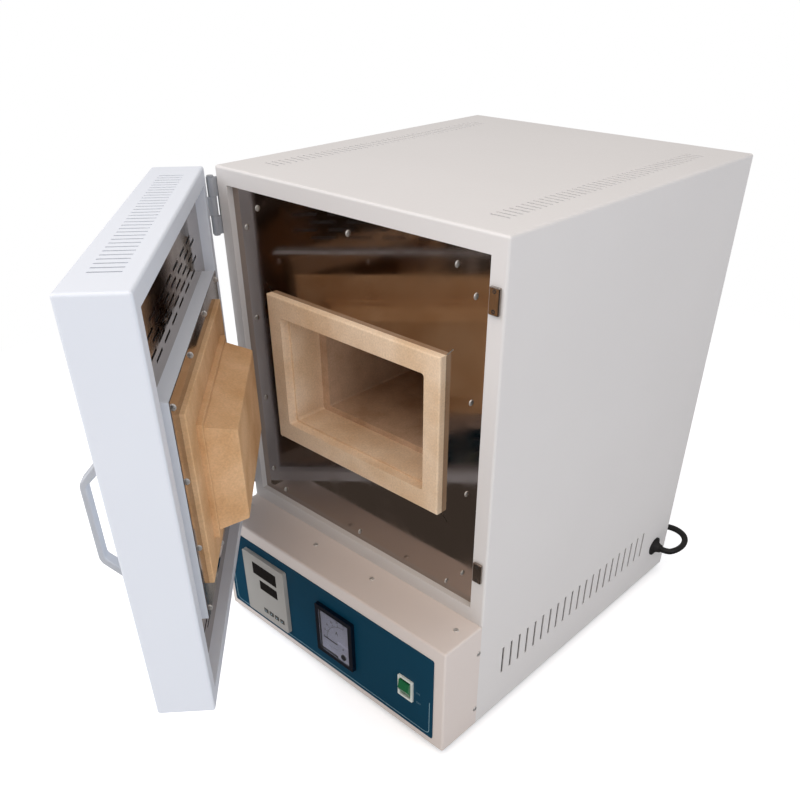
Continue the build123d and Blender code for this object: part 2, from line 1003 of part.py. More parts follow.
# Door
def door_shell():
    body = block((-half, half), (door_face, rim_plane), (door_low, top))
    body = fillet(body.edges(), bend)
    inside = block(
        (-half + sheet, half - sheet),
        (door_face + sheet, rim_plane - sheet),
        (door_low + sheet, top - sheet),
    )
    body -= fillet(inside.edges(), bend - sheet)
    wide = half - door_rim
    low = door_low + door_rim
    high = top - door_rim
    body -= block((-wide, wide), (rim_plane - sheet, rim_plane), (low, high))
    mid = (low + high) / 2
    tall = (high - low) / 2
    body += ring(
        wide + sheet, tall + sheet, wide, tall, (door_plate_front, rim_plane - sheet), 0, mid
    )
    slots = []
    for index in range(door_slots):
        x = (half - door_slot_inset) * (2 * index / (door_slots - 1) - 1)
        y = about((door_face + rim_plane) / 2, door_slot_length)
        slots.append(block(about(x, door_slot_width), y, (door_low - 1, door_low + sheet + 1)))
        slots.append(block(about(x, door_slot_width), y, (top - sheet - 1, top + 1)))
    return body - slots - handle_screw_holes()


def door_inner_plate():
    wide = half - door_rim + facing_lap
    low = door_low + door_rim - facing_lap
    high = top - door_rim + facing_lap
    y = (door_plate_back, door_plate_front)
    body = block((-wide, wide), y, (low, high))
    body -= block((-box_x, box_x), y, (axis_z - box_z, axis_z + box_z))
    slots = []
    for row in range(band_rows):
        rise = box_z + band_start + row * band_row_pitch
        odd = row % 2
        count = band_slots - 1 + odd
        for index in range(count):
            x = (index - (count - 1) / 2) * band_slot_pitch
            for side in (-1, 1):
                z = axis_z + side * rise
                if low + facing_lap < z < high - facing_lap:
                    slots.append(block(about(x, band_slot_length), y, about(z, band_slot_width)))
    return body - slots


def door_box():
    y = (door_plate_back - door_box_sheet, frame_front - plug_frame_thickness)
    body = block((-box_x, box_x), y, (axis_z - box_z, axis_z + box_z))
    body = fillet(body.edges().filter_by(Axis.Y), 1.5)
    x = box_x - door_box_sheet
    z = box_z - door_box_sheet
    body -= block((-x, x), (y[0], y[1] - door_box_sheet), (axis_z - z, axis_z + z))
    x = plug_x + plug_play
    z = plug_z + plug_play
    body -= block((-x, x), y, (axis_z - z, axis_z + z))
    outer_x = box_x + door_box_flange
    outer_z = box_z + door_box_flange
    body += ring(
        outer_x, outer_z, box_x - door_box_sheet, box_z - door_box_sheet, (y[0], door_plate_back), 0, axis_z
    )
    return body - frame_screw_holes()


def frame_screw_places():
    x = box_x - frame_screw_edge
    z = box_z - frame_screw_edge
    places = []
    for side in (-1, 1):
        for index in range(frame_screws_across):
            places.append((x * (2 * index / (frame_screws_across - 1) - 1), axis_z + side * z))
        for index in range(1, frame_screws_up):
            places.append((side * x, axis_z + z * (2 * index / frame_screws_up - 1)))
    return places


def frame_screw_holes():
    radius = shank_radius + shank_play
    return [drill(x, frame_front - 4, z, radius, 8) for x, z in frame_screw_places()]


def plug_frame():
    y = (frame_front - plug_frame_thickness, frame_front)
    body = ring(box_x, box_z, plug_x + plug_play, plug_z + plug_play, y, 0, axis_z)
    return body - frame_screw_holes()


def frame_screws():
    length = plug_frame_thickness + door_box_sheet
    return [screw((x, frame_front, z), to_rear, length) for x, z in frame_screw_places()]


def door_insulation():
    x = box_x - door_box_sheet
    z = box_z - door_box_sheet
    back = frame_front - plug_frame_thickness - door_box_sheet
    return block((-x, x), (door_face + sheet, back), (axis_z - z, axis_z + z))


def door_plug():
    back = frame_front - plug_frame_thickness - door_box_sheet
    base = block((-plug_x, plug_x), (back, plug_seat), (axis_z - plug_z, axis_z + plug_z))
    base = fillet(base.edges().group_by(Axis.Y)[-1], 1.5)
    step_x = mouth_width / 2 - plug_step_play
    step_z = mouth_height / 2 - plug_step_play
    step_y = plug_seat + plug_step
    step = block((-step_x, step_x), (plug_seat, step_y), (axis_z - step_z, axis_z + step_z))
    step = fillet(step.edges().group_by(Axis.Y)[-1], 1)
    root_x = mouth_width / 2 - plug_root_play
    root_z = mouth_height / 2 - plug_root_play
    tip_y = front + plug_reach
    root = Plane((0, step_y, axis_z), x_dir=(1, 0, 0), z_dir=(0, 1, 0))
    tip = Plane((0, tip_y, axis_z), x_dir=(1, 0, 0), z_dir=(0, 1, 0))
    nose = loft(
        [
            root * Rectangle(2 * root_x, 2 * root_z),
            tip * Rectangle(2 * root_x - 2 * plug_taper, 2 * root_z - 2 * plug_taper),
        ]
    )
    nose = fillet(nose.edges().group_by(Axis.Y)[-1], 2)
    return base + step + nose


# Handle
def handle_screw_holes():
    x = half - handle_inset
    z = axis_z + handle_above_axis
    reach = handle_half - handle_foot / 2
    radius = shank_radius + shank_play
    return [drill(x, door_face - 8, z + side * reach, radius, 12) for side in (-1, 1)]


def door_handle():
    grip = handle_grip_half - handle_bar * 0.4
    outline = Polyline(
        (door_face, -handle_half),
        (door_face - handle_reach, -handle_grip_half),
        (door_face - handle_reach, handle_grip_half),
        (door_face, handle_half),
        (door_face, handle_half - handle_foot),
        (door_face - handle_reach + handle_bar, grip),
        (door_face - handle_reach + handle_bar, -grip),
        (door_face, -handle_half + handle_foot),
        close=True,
    )
    origin = (half - handle_inset - handle_width / 2, 0, axis_z + handle_above_axis)
    side = Plane(origin, x_dir=(0, 1, 0), z_dir=(1, 0, 0))
    body = extrude(side * make_face(outline), amount=handle_width, dir=(1, 0, 0))
    along = body.edges().filter_by(Axis.X).group_by(Axis.Y)
    body = fillet(along[0] + along[1], handle_round)
    rails = body.faces().filter_by(Axis.X).edges()
    rails = [edge for edge in rails if edge.center().Y < door_face - 1]
    body = fillet(rails, handle_edge)
    return body - handle_screw_holes()


def handle_screws():
    x = half - handle_inset
    z = axis_z + handle_above_axis
    reach = handle_half - handle_foot / 2
    return [screw((x, door_face + sheet, z + side * reach), to_rear) for side in (-1, 1)]


# Hinges and catches
def hinge_heights():
    return (top - hinge_inset, door_low + hinge_inset)


def knuckle(z, part):
    low = z - 1.5 * knuckle_length + part * knuckle_length
    play = knuckle_play / 2
    body = post(pin_x, pin_y, low + play, knuckle_radius, knuckle_length - knuckle_play)
    return body, (low + play, low + knuckle_length - play)


def hinge_leaf(z, parts, direction):
    # Leaf on the side face, with a tab and a barrel for each of its knuckles
    inner = -half
    outer = -half - leaf_thickness
    near = pin_y + direction * leaf_clear
    far = pin_y + direction * (leaf_clear + leaf_length)
    tall = 1.5 * knuckle_length
    body = block((outer, inner), sorted((near, far)), (z - tall, z + tall))
    for part in parts:
        barrel, span = knuckle(z, part)
        body += barrel + block((outer, inner), sorted((pin_y, near)), span)
    return body - post(pin_x, pin_y, z - tall - 1, pin_radius + pin_play, 2 * tall + 2)


def fixed_leaf(z):
    return hinge_leaf(z, (0, 2), 1)


def door_leaf(z):
    return hinge_leaf(z, (1,), -1)


def hinge_pin(z):
    tall = 1.5 * knuckle_length
    body = post(pin_x, pin_y, z - tall, pin_radius, 2 * tall)
    body += post(pin_x, pin_y, z + tall, knuckle_radius - 1, pin_head)
    return body + post(pin_x, pin_y, z - tall - pin_head, knuckle_radius - 1, pin_head)


def catch_heights():
    return (top - catch_below_top, control_top + catch_above_box)


def magnet_block(z, play):
    x = about(half - catch_center, magnet_width - 2 * play)
    low = rim_plane + catch_play
    return block(x, (low, low + magnet_depth), about(z, magnet_height - 2 * play))


def catch_housings():
    housings = []
    x = about(half - catch_center, catch_width)
    for z in catch_heights():
        body = block(x, (rim_plane + catch_play, front), about(z, catch_height))
        body = fillet(body.edges().filter_by(Axis.Y), catch_round)
        housings.append(body - magnet_block(z, 0))
    return housings


def catch_magnets():
    return [magnet_block(z, 0.1) for z in catch_heights()]


# Cord
gland_y = rear - gland_inset
gland_z = floor + gland_height


def gland_hole():
    return Pos(half, gland_y, gland_z) * to_right * Cylinder(gland_neck + gland_play, 3 * sheet)


def cord_gland():
    outline = [
        Line((0, -gland_neck_length), (gland_neck, -gland_neck_length)),
        Line((gland_neck, -gland_neck_length), (gland_neck, 0)),
        Line((gland_neck, 0), (gland_flange, 0)),
        Line((gland_flange, 0), (gland_flange, gland_flange_thickness)),
        Spline(
            (gland_flange, gland_flange_thickness),
            (gland_flange * 0.6, gland_length * 0.42),
            (gland_tip, gland_length),
        ),
        Line((gland_tip, gland_length), (0, gland_length)),
        Line((0, gland_length), (0, -gland_neck_length)),
    ]
    body = revolve(Plane.XZ * make_face(Wire(outline)), axis=Axis.Z)
    return Pos(half, gland_y, gland_z) * to_right * body


coil_y = rear + coil_behind
coil_beside = coil_radius + 3 * cord_radius + 0.2
coil_low = tie_thickness
cord_points = [
    (half + gland_length, gland_y, gland_z),
    (half + 2 * gland_length, gland_y, gland_z),
    (251.0, 214.0, 64.4),
    (254.5, 226.0, 65.4),
    (254.0, 240.0, 66.4),
    (248.0, 254.0, 67.0),
    (236.0, 264.0, 67.0),
    (220.0, 269.0, 65.5),
    (202.0, 271.0, 61.0),
    (183.0, 271.6, 52.5),
    (165.0, 271.4, 41.5),
    (147.0, 271.0, 30.0),
    (128.0, 270.8, 19.5),
    (107.0, 271.0, 11.0),
    (83.0, 271.6, 6.4),
    (57.0, 272.0, 5.4),
    (31.0, 272.3, 5.2),
    (5.0, coil_y - coil_beside, 5.4),
    (coil_x, coil_y - coil_beside, 5.6),
]
tail_points = [
    (coil_x - coil_beside, coil_y, 13.5),
    (-85.5, 360.0, 10.0),
    (-82.0, 382.0, 7.0),
    (-76.0, 402.0, 6.6),
    (-72.5, 420.0, 8.6),
    (-71.0, 434.0, 11.0),
    (-71.0, 446.0, 11.0),
]


def cord_tube(points):
    # Straight runs joined by tangent arcs, as large as the runs allow
    path_points = [Vector(*point) for point in points]
    runs = [b - a for a, b in zip(path_points, path_points[1:])]
    radii = []
    for before, after in zip(runs, runs[1:]):
        turn = math.radians(before.get_angle(after))
        radii.append(0.45 * min(before.length, after.length) / math.tan(turn / 2))
    path = FilletPolyline(*path_points, radius=radii)
    section = Plane(origin=path @ 0, z_dir=path % 0) * Circle(cord_radius)
    tube = sweep(section, path=path)
    expected = math.pi * cord_radius**2 * path.length
    print("cord radii", [round(radius, 1) for radius in radii])
    print("cord length", round(path.length, 1), "volume share", round(tube.volume / expected, 4))
    return tube


def coil_section(grow):
    wide = 4 * cord_radius + 2 * grow
    middle = coil_low + 2 * cord_radius
    return Plane.XZ * (Pos(coil_radius, middle) * RectangleRounded(wide, wide, coil_round + grow))


def cord_coil():
    # The far end of the cord, wound flat and tied: two turns across, two turns up
    return Pos(coil_x, coil_y, 0) * revolve(coil_section(0), axis=Axis.Z)


def coil_tie():
    band = coil_section(tie_thickness) - coil_section(0)
    body = revolve(band, axis=Axis.Z, revolution_arc=tie_arc)
    return Pos(coil_x, coil_y, 0) * Rot(0, 0, tie_place) * body


def mains_plug():
    long, wide, tall = plug_body
    end = Vector(*tail_points[-1])
    body = Pos(0, long / 2, 0) * Box(wide, long, tall)
    body = fillet(body.edges().filter_by(Axis.Y), 6)
    body = fillet(body.edges().group_by(Axis.Y)[0], 3)
    return Pos(end.X, end.Y, tall / 2) * body


def plug_pins():
    end = Vector(*tail_points[-1])
    low = end.Y + plug_body[0]
    places = [(end.X - pin_spread / 2, low), (end.X + pin_spread / 2, low)]
    return [drill(x, y, plug_body[2] / 2, plug_pin_radius, plug_pin_length) for x, y in places]


def save(name, shape):
    solids = shape if isinstance(shape, list) else [shape]
    found = [solid for item in solids for solid in item.solids()]
    result = found[0] if len(found) == 1 else Compound(children=found)
    result.label = name
    export_step(result, os.path.join("parts", name + ".step"))


upper, lower = hinge_heights()
nodes = {
    "outer_casing": outer_casing(),
    "front_frame": front_frame(),
    "facing_plate": facing_plate(),
    "rear_cover": rear_cover(),
    "base_pan": base_pan(),
    "shelf": shelf(),
    "control_box": control_box(),
    "control_brackets": control_brackets(),
    "cabinet_screws": facing_screws() + casing_screws(),
    "feet": feet(),
    "mouth_collar": mouth_collar(),
    "muffle": muffle(),
    "heating_winding": heating_winding(),
    "heater_leads": heater_leads(),
    "lead_bushings": lead_bushings(),
    "insulation_top": insulation_top(),
    "insulation_bottom": insulation_bottom(),
    "insulation_sides": insulation_sides(),
    "insulation_back": insulation_back(),
    "inner_case": inner_case(),
    "thermocouple": thermocouple(),
    "heat_sink": heat_sink(),
    "thyristor_module": thyristor_module(),
    "terminal_block": terminal_block(),
    "control_panel": control_panel(),
    "controller_case": controller_case(),
    "controller_bezel": controller_bezel(),
    "display_windows": display_windows(),
    "set_key": key(0),
    "shift_key": key(1),
    "down_key": key(2),
    "up_key": key(3),
    "ammeter_case": ammeter_case(),
    "ammeter_dial": ammeter_dial(),
    "ammeter_window": ammeter_window(),
    "ammeter_needle": ammeter_needle(),
    "zero_adjuster": zero_adjuster(),
    "switch_case": switch_case(),
    "switch_rocker": switch_rocker(),
    "hinge_fixed_leaves": [fixed_leaf(upper), fixed_leaf(lower)],
    "hinge_pins": [hinge_pin(upper), hinge_pin(lower)],
    "catch_housings": catch_housings(),
    "catch_magnets": catch_magnets(),
    "cord_gland": cord_gland(),
    "cord_tube": cord_tube(cord_points),
    "cord_coil": cord_coil(),
    "cord_tail": cord_tube(tail_points),
    "coil_tie": coil_tie(),
    "mains_plug": mains_plug(),
    "plug_pins": plug_pins(),
}
door_nodes = {
    "door_shell": door_shell(),
    "door_inner_plate": door_inner_plate(),
    "door_box": door_box(),
    "plug_frame": plug_frame(),
    "door_screws": frame_screws() + handle_screws(),
    "door_plug": door_plug(),
    "door_insulation": door_insulation(),
    "door_handle": door_handle(),
    "hinge_door_leaves": [door_leaf(upper), door_leaf(lower)],
}

os.makedirs("parts", exist_ok=True)
for name, shape in nodes.items():
    save(name, shape)
for name, shape in door_nodes.items():
    pieces = shape if isinstance(shape, list) else [shape]
    save(name, [swing(piece) for piece in pieces])
print("nodes", len(nodes) + len(door_nodes))
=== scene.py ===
import json
import math

import bpy
from mathutils import Matrix, Vector


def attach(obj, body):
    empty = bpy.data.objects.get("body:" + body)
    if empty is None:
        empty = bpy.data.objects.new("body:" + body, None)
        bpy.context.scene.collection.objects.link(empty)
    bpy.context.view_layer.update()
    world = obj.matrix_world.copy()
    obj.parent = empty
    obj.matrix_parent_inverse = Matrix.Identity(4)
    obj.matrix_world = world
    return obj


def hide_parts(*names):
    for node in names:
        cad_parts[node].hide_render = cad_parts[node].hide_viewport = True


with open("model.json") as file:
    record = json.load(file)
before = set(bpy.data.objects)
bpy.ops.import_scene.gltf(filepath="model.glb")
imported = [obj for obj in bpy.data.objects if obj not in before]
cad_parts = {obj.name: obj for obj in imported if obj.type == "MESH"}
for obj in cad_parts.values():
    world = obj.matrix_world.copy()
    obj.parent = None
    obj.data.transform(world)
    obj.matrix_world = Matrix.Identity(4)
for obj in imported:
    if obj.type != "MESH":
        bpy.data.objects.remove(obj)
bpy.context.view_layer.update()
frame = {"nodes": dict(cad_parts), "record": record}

mm = 0.001
nodes = frame["nodes"]
print("frame loaded:", len(nodes), "nodes")


# Camera, at the place that the casing's edges in the photograph give
camera = {
    "place": (661.5, -843.7, 844.3),
    "turn": 43.973,
    "tilt": 54.049,
    "roll": -0.325,
    "lens": 36.69,
    "shift": 0.1771,
}
cameraData = bpy.data.cameras.new("camera")
cameraData.lens = camera["lens"]
cameraData.sensor_width = 36
cameraData.shift_y = camera["shift"]
cameraObject = bpy.data.objects.new("camera", cameraData)
bpy.context.collection.objects.link(cameraObject)
cameraObject.matrix_world = (
    Matrix.Translation(Vector(camera["place"]) * mm)
    @ Matrix.Rotation(math.radians(camera["turn"]), 4, "Z")
    @ Matrix.Rotation(math.radians(camera["tilt"]), 4, "X")
    @ Matrix.Rotation(math.radians(camera["roll"]), 4, "Z")
)
bpy.context.scene.camera = cameraObject
bpy.context.scene.view_settings.view_transform = "Standard"
print("camera set")


# Mains cord: out of the gland, round the rear edge, down to the floor, into its stored coil
cord = {
    "diameter": 9.5,
    "length": 1860,
    "coilMiddle": (-20.0, 338.5),
    "coilOuter": 57.1,
    "coilInner": 47.2,
    "coilLow": 5.7,
    "coilHigh": 15.5,
    "turns": 4.25,
    "stepIn": 0.9,
    "stepUp": 1.95,
    "stepOut": 3.0,
    "stepTurn": 0.25,
    "pointsPerTurn": 16,
}
# The same points as in the part's source
cordRoute = [
    (232.0, 205.0, 63.2),
    (244.0, 205.0, 63.2),
    (251.0, 214.0, 64.4),
    (254.5, 226.0, 65.4),
    (254.0, 240.0, 66.4),
    (248.0, 254.0, 67.0),
    (236.0, 264.0, 67.0),
    (220.0, 269.0, 65.5),
    (202.0, 271.0, 61.0),
    (183.0, 271.6, 52.5),
    (165.0, 271.4, 41.5),
    (147.0, 271.0, 30.0),
    (128.0, 270.8, 19.5),
    (107.0, 271.0, 11.0),
    (83.0, 271.6, 6.4),
    (57.0, 272.0, 5.4),
    (31.0, 272.3, 5.2),
    (5.0, 272.05, 5.4),
]
cordTail = [
    (-85.5, 360.0, 10.0),
    (-82.0, 382.0, 7.0),
    (-76.0, 402.0, 6.6),
    (-72.5, 420.0, 8.6),
    (-71.0, 434.0, 11.0),
    (-71.0, 446.0, 11.0),
]


def stepShare(turn, start):
    # How far the coil has changed over from one ring to the next
    return min(1, max(0, (turn - cord[start]) / cord["stepTurn"]))


def coilPoints():
    # Two turns on the floor, outer then inner, and two on top of them, inner then outer
    points = []
    count = int(cord["turns"] * cord["pointsPerTurn"])
    for index in range(1, count + 1):
        turn = index / cord["pointsPerTurn"]
        inside = stepShare(turn, "stepIn") - stepShare(turn, "stepOut")
        above = stepShare(turn, "stepUp")
        radius = cord["coilOuter"] + (cord["coilInner"] - cord["coilOuter"]) * inside
        height = cord["coilLow"] + (cord["coilHigh"] - cord["coilLow"]) * above
        angle = math.radians(-90 - 360 * turn)
        x = cord["coilMiddle"][0] + radius * math.cos(angle)
        y = cord["coilMiddle"][1] + radius * math.sin(angle)
        points.append((x, y, height))
    return points


def splineCurve(name, points, radius):
    curve = bpy.data.curves.new(name, "CURVE")
    curve.dimensions = "3D"
    # The tube's radius is the bevel times each point's radius
    curve.bevel_depth = 1
    curve.bevel_resolution = 5
    curve.resolution_u = 6
    curve.use_fill_caps = True
    spline = curve.splines.new("NURBS")
    spline.points.add(len(points) - 1)
    for point, place in zip(spline.points, points):
        point.co = (*(Vector(place) * mm), 1)
        point.radius = radius * mm
    spline.order_u = 3
    spline.use_endpoint_u = True
    piece = bpy.data.objects.new(name, curve)
    bpy.context.collection.objects.link(piece)
    return piece


mainsCord = splineCurve("mainsCord", cordRoute + coilPoints() + cordTail, cord["diameter"] / 2)
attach(mainsCord, "cabinet")
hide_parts("cord_tube", "cord_coil", "cord_tail")
print("cord made")


# Floor, lamps and world
studio = {
    "target": (0, -0.1, 0.3),
    "keyPlace": (-1.2, -2.2, 2.4),
    "keySize": 1.6,
    "keyColour": "F2F6FF",
    "sidePlace": (2.6, -0.6, 1.5),
    "sideSize": 1.8,
    "sideColour": "E2ECFF",
    "topPlace": (0.5, -1.3, 2.7),
    "topSize": 2.0,
    "topColour": "FFEBD8",
    "floorSize": 60,
    "floorGlow": 0.42,
    "fadeStart": 0.55,
    "fadeEnd": 1.5,
    "keyPower": 38,
    "sidePower": 15,
    "topPower": 23,
    "worldLevel": 0.66,
    "dimLevel": 0.35,
    "dimRoom": 0.75,
}


def linear(code, alpha=1.0):
    # sRGB hex to the linear values that the shaders take
    channels = []
    for start in (0, 2, 4):
        value = int(code[start:start + 2], 16) / 255
        channels.append(value / 12.92 if value <= 0.04045 else ((value + 0.055) / 1.055) ** 2.4)
    return (*channels, alpha)


def addNode(tree, kind, settings=None, links=None):
    node = tree.nodes.new(kind)
    for key, value in (settings or {}).items():
        if isinstance(key, int) or key in node.inputs:
            node.inputs[key].default_value = value
        else:
            setattr(node, key, value)
    for key, source in (links or {}).items():
        tree.links.new(source, node.inputs[key])
    return node


def mixed(tree, share, first, second):
    return addNode(
        tree, "ShaderNodeMixShader", None, {0: share, 1: first.outputs[0], 2: second.outputs[0]}
    )


def addLamp(name):
    data = bpy.data.lights.new(name + "Lamp", "AREA")
    data.shape = "SQUARE"
    data.size = studio[name + "Size"]
    data.energy = studio[name + "Power"]
    data.color = linear(studio[name + "Colour"])[:3]
    lamp = bpy.data.objects.new(name + "Lamp", data)
    bpy.context.collection.objects.link(lamp)
    lamp.location = studio[name + "Place"]
    aim = Vector(studio["target"]) - lamp.location
    lamp.rotation_euler = aim.to_track_quat("-Z", "Y").to_euler()


def setStudio():
    for name in ("key", "side", "top"):
        addLamp(name)
    bpy.ops.mesh.primitive_plane_add(size=studio["floorSize"])
    floor = bpy.context.object
    floor.name = "studioFloor"
    material = bpy.data.materials.new("floor paper")
    material.use_nodes = True
    tree = material.node_tree
    paper = tree.nodes["Principled BSDF"]
    paper.inputs["Base Color"].default_value = linear("F8F8F8")
    paper.inputs["Roughness"].default_value = 0.9
    paper.inputs["Specular IOR Level"].default_value = 0.2
    # The camera sees the paper brighter than it lights the furnace, and far off it is plain white
    ray = addNode(tree, "ShaderNodeLightPath")
    paper.inputs["Emission Color"].default_value = (1, 1, 1, 1)
    glow = addNode(
        tree,
        "ShaderNodeMath",
        {"operation": "MULTIPLY", 1: studio["floorGlow"]},
        {0: ray.outputs["Is Camera Ray"]},
    )
    tree.links.new(glow.outputs[0], paper.inputs["Emission Strength"])
    place = addNode(tree, "ShaderNodeTexCoord").outputs["Object"]
    reach = addNode(tree, "ShaderNodeVectorMath", {"operation": "LENGTH"}, {0: place})
    fade = addNode(
        tree,
        "ShaderNodeMapRange",
        {"From Min": studio["fadeStart"], "From Max": studio["fadeEnd"]},
        {"Value": reach.outputs["Value"]},
    )
    seen = addNode(
        tree,
        "ShaderNodeMath",
        {"operation": "MULTIPLY"},
        {0: fade.outputs[0], 1: ray.outputs["Is Camera Ray"]},
    )
    white = addNode(tree, "ShaderNodeEmission", {"Color": (1, 1, 1, 1), "Strength": 1.0})
    blend = mixed(tree, seen.outputs[0], paper, white)
    # The mirror steel sees a dim room, as it does in the photograph
    dimPaper = {"Color": linear("8C8178"), "Strength": studio["dimLevel"]}
    dim = addNode(tree, "ShaderNodeEmission", dimPaper)
    mirrored = mixed(tree, ray.outputs["Is Glossy Ray"], blend, dim)
    tree.links.new(mirrored.outputs[0], tree.nodes["Material Output"].inputs["Surface"])
    floor.data.materials.append(material)

    world = bpy.data.worlds.new("studio")
    bpy.context.scene.world = world
    world.use_nodes = True
    tree = world.node_tree
    room = tree.nodes["Background"]
    room.inputs["Color"].default_value = linear("F4F5F8")
    room.inputs["Strength"].default_value = studio["worldLevel"]
    backdrop = addNode(tree, "ShaderNodeBackground", {"Color": (1, 1, 1, 1), "Strength": 1.0})
    ray = addNode(tree, "ShaderNodeLightPath")
    clear = addNode(
        tree,
        "ShaderNodeMath",
        {"operation": "MAXIMUM"},
        {0: ray.outputs["Is Camera Ray"], 1: ray.outputs["Is Transmission Ray"]},
    )
    dimWall = {"Color": linear("B4AFAA"), "Strength": studio["dimRoom"]}
    dim = addNode(tree, "ShaderNodeBackground", dimWall)
    lit = mixed(tree, ray.outputs["Is Glossy Ray"], room, dim)
    mix = mixed(tree, clear.outputs[0], lit, backdrop)
    tree.links.new(mix.outputs[0], tree.nodes["World Output"].inputs["Surface"])


setStudio()
print("studio lit")


# Materials: each starts from the real stuff, with pattern sizes in real millimetres
def perMetre(size):
    # Pattern scale that gives features of this many millimetres
    return 1 / (size * mm)


def newMaterial(name, code, roughness, metallic=0.0, **sockets):
    material = bpy.data.materials.new(name)
    material.use_nodes = True
    shader = material.node_tree.nodes["Principled BSDF"]
    shader.inputs["Base Color"].default_value = linear(code)
    shader.inputs["Roughness"].default_value = roughness
    shader.inputs["Metallic"].default_value = metallic
    for key, value in sockets.items():
        shader.inputs[key.replace("_", " ")].default_value = value
    place = addNode(material.node_tree, "ShaderNodeTexCoord").outputs["Object"]
    return material, material.node_tree, shader, place


def noise(tree, place, size, detail):
    return addNode(
        tree, "ShaderNodeTexNoise", {"Scale": perMetre(size), "Detail": detail}, {"Vector": place}
    ).outputs[0]


def spread(tree, value, **ends):
    settings = {key.replace("_", " "): end for key, end in ends.items()}
    return addNode(tree, "ShaderNodeMapRange", settings, {"Value": value}).outputs[0]


def blended(tree, share, first, second):
    colours = {"data_type": "RGBA", 6: linear(first), 7: linear(second)}
    return addNode(tree, "ShaderNodeMix", colours, {0: share}).outputs[2]


def relief(tree, height, strength, deep):
    settings = {"Strength": strength, "Distance": deep * mm}
    return addNode(tree, "ShaderNodeBump", settings, {"Height": height}).outputs[0]


def powderCoat(name, code, driftCode):
    # Powder coat, sprayed and baked: an even satin with a faint orange peel and a slow drift of tone
    material, tree, shader, place = newMaterial(name, code, 0.46, IOR=1.5)
    tone = blended(tree, noise(tree, place, 220, 3.0), code, driftCode)
    # Orange peel is about 1 mm across; drawn at 3 mm so that it shows
    speck = noise(tree, place, 3, 2.0)
    sheen = spread(tree, speck, From_Min=0.3, From_Max=0.7, To_Min=0.4, To_Max=0.52)
    tree.links.new(tone, shader.inputs["Base Color"])
    tree.links.new(sheen, shader.inputs["Roughness"])
    tree.links.new(relief(tree, speck, 0.18, 0.12), shader.inputs["Normal"])
    return material


def mirrorSteel(name, code, wave):
    # Mirror stainless: thin bright sheet that buckles a little, so what it reflects bends
    material, tree, shader, place = newMaterial(name, code, 0.07, 1.0)
    buckle = noise(tree, place, 150, 1.0)
    haze = noise(tree, place, 60, 5.0)
    smear = spread(tree, haze, From_Min=0.35, From_Max=0.7, To_Min=0.05, To_Max=0.16)
    tree.links.new(relief(tree, buckle, 1.0, wave), shader.inputs["Normal"])
    tree.links.new(smear, shader.inputs["Roughness"])
    return material


def rolledMetal(name, code, roughness, grain, stretch, metallic=1.0):
    # Rolled or drawn metal: fine streaks along the way that it was rolled
    material, tree, shader, place = newMaterial(name, code, roughness, metallic)
    turned = addNode(tree, "ShaderNodeMapping", {"Scale": stretch}, {"Vector": place})
    streak = noise(tree, turned.outputs[0], grain, 3.0)
    dull = spread(tree, streak, To_Min=roughness * 0.7, To_Max=roughness * 1.4)
    tree.links.new(dull, shader.inputs["Roughness"])
    tree.links.new(relief(tree, streak, 0.12, 0.03), shader.inputs["Normal"])
    return material


def refractory(name, pale, dark, grit):
    # Fired refractory: pressed grain in a clay bond, dry, matt, mottled where the fire has reached
    material, tree, shader, place = newMaterial(name, pale, 0.93, Specular_IOR_Level=0.25)
    share = spread(tree, noise(tree, place, 55, 5.0), From_Min=0.38, From_Max=0.66)
    tone = blended(tree, share, pale, dark)
    grain = noise(tree, place, grit, 4.0)
    fleck = spread(tree, grain, From_Min=0.3, From_Max=0.75, To_Min=0.88, To_Max=1.08)
    coloured = addNode(
        tree,
        "ShaderNodeMix",
        {"data_type": "RGBA", "blend_type": "MULTIPLY", 0: 1.0},
        {6: tone, 7: fleck},
    )
    tree.links.new(coloured.outputs[2], shader.inputs["Base Color"])
    tree.links.new(relief(tree, grain, 0.5, 0.35), shader.inputs["Normal"])
    return material


def mouldedPlastic(name, code, roughness, texture=0.6, **sockets):
    # Moulded plastic: an even colour with the spark texture of the mould
    material, tree, shader, place = newMaterial(name, code, roughness, **sockets)
    spark = noise(tree, place, texture, 2.0)
    shade = spread(tree, spark, To_Min=roughness * 0.85, To_Max=roughness * 1.15)
    tree.links.new(shade, shader.inputs["Roughness"])
    tree.links.new(relief(tree, spark, 0.15, 0.03), shader.inputs["Normal"])
    return material


def dullRubber(name, code, roughness):
    # Rubber sheath: black, slightly chalky where it has been handled
    material, tree, shader, place = newMaterial(name, code, roughness, Specular_IOR_Level=0.4)
    share = spread(tree, noise(tree, place, 14, 5.0), From_Min=0.45, From_Max=0.8, To_Max=0.5)
    tree.links.new(blended(tree, share, code, "34322F"), shader.inputs["Base Color"])
    return material


def fibreBoard(name, code):
    # Ceramic fibre board: felted white fibre, soft and matt
    material, tree, shader, place = newMaterial(name, code, 0.97, Specular_IOR_Level=0.1)
    felt = noise(tree, place, 4, 6.0)
    tree.links.new(relief(tree, felt, 0.6, 0.6), shader.inputs["Normal"])
    return material


def clearPlastic(name, code):
    # Clear acrylic window: polished, thin, slightly cool
    material, tree, shader, place = newMaterial(name, code, 0.03, IOR=1.49, Transmission_Weight=1.0)
    dust = noise(tree, place, 9, 4.0)
    film = spread(tree, dust, From_Min=0.5, From_Max=0.8, To_Min=0.02, To_Max=0.1)
    tree.links.new(film, shader.inputs["Roughness"])
    # Lamps light what lies behind the window as if it weren't there
    ray = addNode(tree, "ShaderNodeLightPath")
    clear = addNode(tree, "ShaderNodeBsdfTransparent")
    pane = mixed(tree, ray.outputs["Is Shadow Ray"], shader, clear)
    tree.links.new(pane.outputs[0], tree.nodes["Material Output"].inputs["Surface"])
    return material


